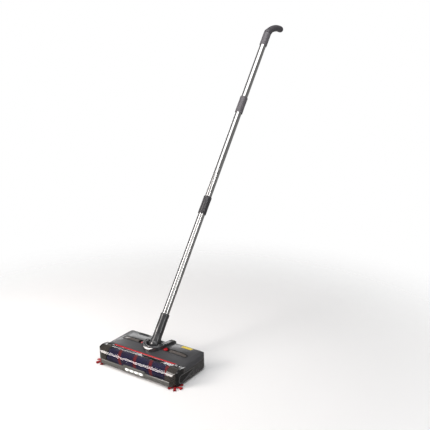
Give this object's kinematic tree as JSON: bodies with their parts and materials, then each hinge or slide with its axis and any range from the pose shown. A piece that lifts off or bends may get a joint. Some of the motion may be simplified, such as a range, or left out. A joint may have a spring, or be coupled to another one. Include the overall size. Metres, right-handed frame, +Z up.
{
  "type": "carpet sweeper",
  "caption": "Cordless floor sweeper: low head with windowed brush roller, corner brushes and dust bins, on a jointed three-section pole with a curved grip.",
  "frame": {"origin": "on the floor, on the centre plane, under the middle glide pad of the head", "axes": "+X to the right of the person pushing it, +Y backwards to that person, +Z up"},
  "size_m": [0.3614, 0.9877, 1.1062],
  "materials": {
    "housing_grey": "glossy injection-moulded dark grey",
    "cover_grey": "glossy pearl grey",
    "bumper_grey": "soft satin grey",
    "trim_red": "glossy red",
    "clear_window": "clear moulded",
    "smoked_cap": "smoked see-through",
    "catch_dark": "dark moulded",
    "light_lens": "frosted white, lit",
    "board_green": "circuit board",
    "bezel_black": "gloss black",
    "bin_lens": "tinted clear",
    "bin_dark": "matt dark grey",
    "rubber_black": "matt rubber",
    "battery_wrap": "shrink-wrapped cells",
    "part_black": "moulded black",
    "button_grey": "satin dark grey",
    "steel": "plain steel",
    "bush_bronze": "sintered bronze",
    "roller_tube": "plain aluminium",
    "roller_pile": "navy pile with red spiral",
    "pulley_white": "white acetal",
    "bristle_red": "red nylon bristle",
    "label_yellow": "plain yellow sticker",
    "joint_dark": "dark moulded",
    "tube_chrome": "bright chromed thin-wall tube",
    "coupler_grey": "satin dark grey",
    "handle_grey": "satin grey",
    "grip_grey": "satin grey"
  },
  "bodies": {
    "head": {"base_housing": "housing_grey", "top_cover": "cover_grey", "neck_collar": "housing_grey", "red_trim_strip": "trim_red", "front_bumper": "bumper_grey", "light_lens": "light_lens", "light_board": "board_green", "side_panel_left": "housing_grey", "side_panel_right": "housing_grey", "bin_bezel_left": "bezel_black", "bin_bezel_right": "bezel_black", "bin_lens_left": "bin_lens", "bin_lens_right": "bin_lens", "dust_bin_left": "bin_dark", "dust_bin_right": "bin_dark", "dust_lip": "rubber_black", "glide_pads": "rubber_black", "battery_pack": "battery_wrap", "battery_door": "bin_dark", "control_board": "board_green", "charging_socket": "part_black", "drive_motor": "steel", "drive_belt": "rubber_black", "roller_bushes": "bush_bronze", "side_brush_motors": "steel", "power_switch": "part_black", "button_spring": "steel", "housing_screws": "steel", "label_plate": "label_yellow", "tilt_pins": "steel", "wheel_axles": "steel", "door_pins": "steel"},
    "roller": {"roller_core": "roller_tube", "roller_sleeve": "roller_pile", "roller_pulley": "pulley_white"},
    "motor_rotor": {"motor_pulley": "pulley_white"},
    "corner_brush_left": {"side_brush_left": "bristle_red"},
    "corner_brush_right": {"side_brush_right": "bristle_red"},
    "wheel_left": {"rear_wheel_left": "rubber_black"},
    "wheel_right": {"rear_wheel_right": "rubber_black"},
    "latch_left": {"bin_latch_left": "trim_red"},
    "latch_right": {"bin_latch_right": "trim_red"},
    "door_left": {"bin_door_left": "bin_dark"},
    "door_right": {"bin_door_right": "bin_dark"},
    "foot_button": {"power_button": "button_grey"},
    "window": {"brush_window": "clear_window", "window_end_caps": "smoked_cap"},
    "window_catch_left": {"window_latch_left": "catch_dark"},
    "window_catch_right": {"window_latch_right": "catch_dark"},
    "tilt_block": {"swivel_block": "joint_dark"},
    "pole": {"swivel_pin": "steel", "neck_yoke": "housing_grey", "neck_sleeve": "housing_grey", "lower_tube": "tube_chrome", "lower_coupler": "coupler_grey", "middle_tube": "tube_chrome", "upper_coupler": "handle_grey", "upper_tube": "tube_chrome", "handle_sleeve": "handle_grey", "handle_grip": "grip_grey"}
  },
  "joints": [
    {"name": "roller_spin", "type": "hinge", "parent": "head", "child": "roller", "pos_m": [0, -0.07, 0.026], "axis": [1, 0, 0], "continuous": true},
    {"name": "motor_spin", "type": "hinge", "parent": "head", "child": "motor_rotor", "pos_m": [0.137, 0.033, 0.026], "axis": [1, 0, 0], "continuous": true},
    {"name": "corner_brush_left_spin", "type": "hinge", "parent": "head", "child": "corner_brush_left", "pos_m": [-0.153, -0.084, 0.004], "axis": [0, 0, 1], "continuous": true},
    {"name": "corner_brush_right_spin", "type": "hinge", "parent": "head", "child": "corner_brush_right", "pos_m": [0.153, -0.084, 0.004], "axis": [0, 0, 1], "continuous": true},
    {"name": "wheel_left_roll", "type": "hinge", "parent": "head", "child": "wheel_left", "pos_m": [-0.06, 0.064, 0.012], "axis": [1, 0, 0], "continuous": true},
    {"name": "wheel_right_roll", "type": "hinge", "parent": "head", "child": "wheel_right", "pos_m": [0.06, 0.064, 0.012], "axis": [1, 0, 0], "continuous": true},
    {"name": "bin_latch_left_slide", "type": "slide", "parent": "head", "child": "latch_left", "axis": [-1, 0, 0], "range_m": [0, 0.007], "stiffness_N_per_m": 300, "springref_m": -0.002},
    {"name": "bin_latch_right_slide", "type": "slide", "parent": "head", "child": "latch_right", "axis": [1, 0, 0], "range_m": [0, 0.007], "stiffness_N_per_m": 300, "springref_m": -0.002},
    {"name": "bin_door_left_open", "type": "hinge", "parent": "head", "child": "door_left", "pos_m": [-0.078, 0.012, 0.0076], "axis": [1, 0, 0], "range_deg": [0, 75]},
    {"name": "bin_door_right_open", "type": "hinge", "parent": "head", "child": "door_right", "pos_m": [0.078, 0.012, 0.0076], "axis": [1, 0, 0], "range_deg": [0, 75]},
    {"name": "power_button_press", "type": "slide", "parent": "head", "child": "foot_button", "axis": [0, 0, -1], "range_m": [0, 0.003], "stiffness_N_per_m": 1500, "springref_m": -0.001, "deforming": ["button_spring"]},
    {"name": "window_lift", "type": "slide", "parent": "head", "child": "window", "axis": [0, 0, 1], "range_m": [0, 0.045]},
    {"name": "window_catch_left_slide", "type": "slide", "parent": "window", "child": "window_catch_left", "axis": [-1, 0, 0], "range_m": [0, 0.004], "stiffness_N_per_m": 300, "springref_m": -0.002},
    {"name": "window_catch_right_slide", "type": "slide", "parent": "window", "child": "window_catch_right", "axis": [1, 0, 0], "range_m": [0, 0.004], "stiffness_N_per_m": 300, "springref_m": -0.002},
    {"name": "neck_tilt", "type": "hinge", "parent": "head", "child": "tilt_block", "pos_m": [0, 0.004, 0.068], "axis": [-1, 0, 0], "range_deg": [-37, 33]},
    {"name": "neck_swivel", "type": "hinge", "parent": "tilt_block", "child": "pole", "pos_m": [0, 0.004, 0.068], "axis": [0, 0.7986, -0.6018], "range_deg": [-20, 20]}
  ],
  "couplings": [
    {"joint": "motor_spin", "follows": "roller_spin", "ratio": 1.8}
  ]
}
